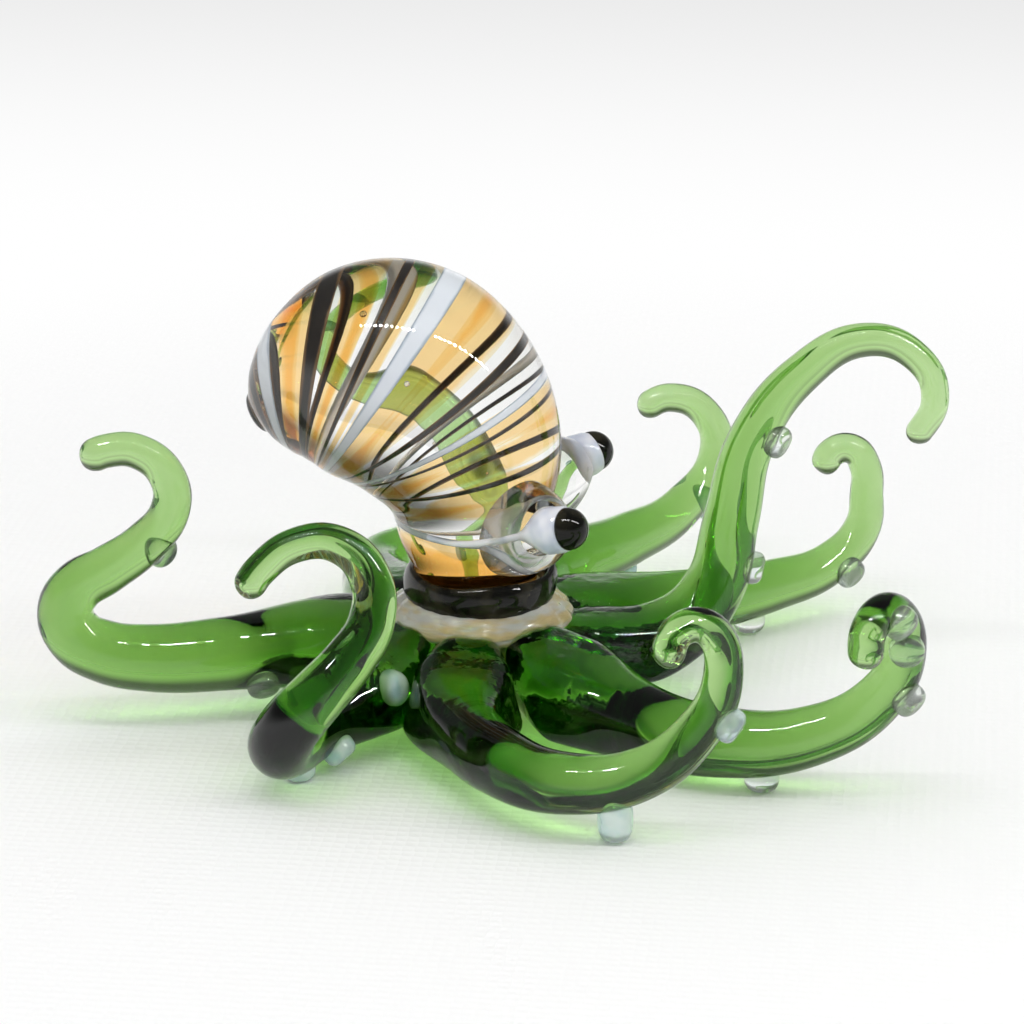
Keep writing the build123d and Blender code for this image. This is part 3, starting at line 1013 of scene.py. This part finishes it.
for side, hand in (("left", 1), ("right", -1)):
    mirrored = Matrix.Diagonal((1, hand, 1))
    raised = Vector((0, 0, neckTop))
    place = mirrored @ Vector(eyes["place"])
    root = hubAxis + (mirrored @ Vector(eyes["padRoot"]) + raised) * mm
    eye = hubAxis + (place + raised) * mm
    look = (mirrored @ Vector(eyes["gaze"])).normalized()

    pad = link(f"eyePad_{side}", padMesh(f"eyePad_{side}", root, eye))
    pad.data.materials.append(finishes["clear"])
    cutFromBulb(pad)
    settle(pad, f"eye_pad_{side}")

    front = place + look * eyes["ballRadius"]
    tail = [front, place] + [mirrored @ Vector(point) for point in eyes["tail"]]
    path = pathObject(f"tail_{side}", [point + raised for point in tail])
    ballSizes = {
        "Rod Radius": eyes["ballRadius"] * mm,
        "Tip Radius": eyes["tailRadius"] * mm,
        "Draw Start": eyes["ballEnd"],
        "Draw End": eyes["tailStart"],
        "Root Rounding": eyes["ballRadius"] * mm,
        "Root Room": 10.0,  # no neighbour squeezes it
        "Sides": eyes["ballSides"],
        "Rings": eyes["ballRings"],
    }
    ball = grow(f"milkBall_{side}", path, drawnRod, finishes["eye"], ballSizes)
    bpy.data.objects.remove(path)
    settle(ball, f"eyeball_{side}")

    cap = link(f"blackCap_{side}", capMesh(f"blackCap_{side}", eye, look))
    cap.data.materials.append(finishes["black"])
    settle(cap, f"pupil_{side}")
print("eyes: two pads, balls and caps")


# Stage: a pale cloth that fades to white, soft light, and the photograph's view

stage = {
    "size": 4.0,  # metres
    "plain": 0.07,  # the cloth shows as far as this from the middle
    "white": 0.17,
    "farEdge": 0.42,  # the white dims a little this far behind
    "farWhite": 0.8,
    "clothColour": (0.9, 0.9, 0.9),
    "weave": 0.6,  # how deep the weave looks, and how deep in the glass
    "weaveInGlass": 0.1,
    "weaveScale": 900.0,
    "weaveLoose": 0.25,
    "weaveDepth": 0.0002,
    "dimTop": 0.16,  # how bright the room overhead looks in the glass, and how high that starts
    "dimFull": 0.35,
    "fill": 0.93,  # how bright it lights the cloth, also through the glass
    "lookAt": (1.68, -1.61, 20.2),
    "cameraAt": (47.77, -377.0, 150.43),
    "lens": 140.6,
    "sensor": 36,
    "clip": (0.01, 10),
    "bounces": 24,
}


def floorFinish():
    finish, tree, shader = newFinish("paleCloth", stage["clothColour"], 0.9)
    place = objectVector(tree)
    inputs = {"Vector": place, "Scale": stage["weaveScale"], "Randomness": stage["weaveLoose"]}
    weave = put(tree, "ShaderNodeTexVoronoi", inputs).outputs["Distance"]
    seen = put(tree, "ShaderNodeLightPath").outputs["Is Camera Ray"]
    shown = ranged(tree, seen, 0.0, 1.0, stage["weaveInGlass"], stage["weave"])
    dented(tree, shader, weave, shown, stage["weaveDepth"])
    away = lengthOf(tree, place)
    fade = ranged(tree, away, stage["plain"], stage["white"])
    depth = splitXyz(tree, place)["Y"]
    far = ranged(tree, depth, stage["white"], stage["farEdge"], 1.0, stage["farWhite"])
    white = put(tree, "ShaderNodeEmission", {"Color": (1, 1, 1, 1), "Strength": far})
    mix = put(tree, "ShaderNodeMixShader", {0: fade, 1: shader.outputs[0], 2: white.outputs[0]})
    wire(tree, tree.nodes["Material Output"].inputs["Surface"], mix.outputs[0])
    finish.cycles.emission_sampling = "NONE"
    return finish


floorMesh = bpy.data.meshes.new("floor")
reach = stage["size"] / 2
corners = [(-reach, -reach, 0), (reach, -reach, 0), (reach, reach, 0), (-reach, reach, 0)]
floorMesh.from_pydata(corners, [], [(0, 1, 2, 3)])
floor = link("floor", floorMesh)
floorMesh.materials.append(floorFinish())

world = bpy.data.worlds.new("paleRoom")
world.use_nodes = True
bpy.context.scene.world = world
room = world.node_tree
up = splitXyz(room, put(room, "ShaderNodeTexCoord").outputs["Generated"])["Z"]
inGlass = ranged(room, up, 0.0, stage["dimFull"], 1.0, stage["dimTop"])  # what the glass shows of the room
rays = put(room, "ShaderNodeLightPath").outputs
lit = calc(room, "MULTIPLY", calc(room, "GREATER_THAN", rays["Diffuse Depth"], 0.5), stage["fill"])
glow = calc(room, "MAXIMUM", calc(room, "MAXIMUM", lit, rays["Is Camera Ray"]), inGlass)
wire(room, room.nodes["Background"].inputs["Strength"], glow)
room.nodes["Background"].inputs["Color"].default_value = (1, 1, 1, 1)


def aim(thing, target):  # turns a lamp or a camera to a place
    thing.rotation_euler = (Vector(target) - thing.location).to_track_quat("-Z", "Y").to_euler()


# Lamp strips: name: middle and target in metres, direction of the row
lampStrips = {
    "leftStrip": ((-0.06, -0.2, 0.5), (0, 0, 0.02), (1, 0, 0)),
    "rightStrip": ((0.36, -0.12, 0.37), (0, 0, 0.02), (0.5, 0.2, -0.3)),
}
# Soft lamps light the cloth, and the bright ones glint in the glass and shine through it: metres and watts
lampRows = {
    "soft": {"count": 11, "step": 0.032, "length": 0.014, "width": 0.008, "power": 0.03, "onCloth": True},
    "glint": {"count": 11, "step": 0.032, "length": 0.013, "width": 0.018, "power": 0.2, "onCloth": False},
}
for name, (middle, target, along) in lampStrips.items():
    for kind, row in lampRows.items():
        for number in range(row["count"]):
            data = bpy.data.lights.new(f"{name}_{kind}_{number}", "AREA")
            data.shape, data.size, data.size_y = "RECTANGLE", row["length"], row["width"]
            data.energy = row["power"]
            lamp = link(data.name, data)
            lamp.visible_diffuse = row["onCloth"]
            shift = (number - (row["count"] - 1) / 2) * row["step"]
            lamp.location = Vector(middle) + Vector(along).normalized() * shift
            aim(lamp, target)

cameraData = bpy.data.cameras.new("photoView")
cameraData.lens, cameraData.sensor_width = stage["lens"], stage["sensor"]
cameraData.clip_start, cameraData.clip_end = stage["clip"]
camera = link("photoView", cameraData)
camera.location = Vector(stage["cameraAt"]) * mm
aim(camera, Vector(stage["lookAt"]) * mm)
scene = bpy.context.scene
scene.camera = camera
scene.view_settings.view_transform = "Standard"
scene.cycles.max_bounces = stage["bounces"]
scene.cycles.transmission_bounces = stage["bounces"]
print("stage: floor, room, lamps and camera")
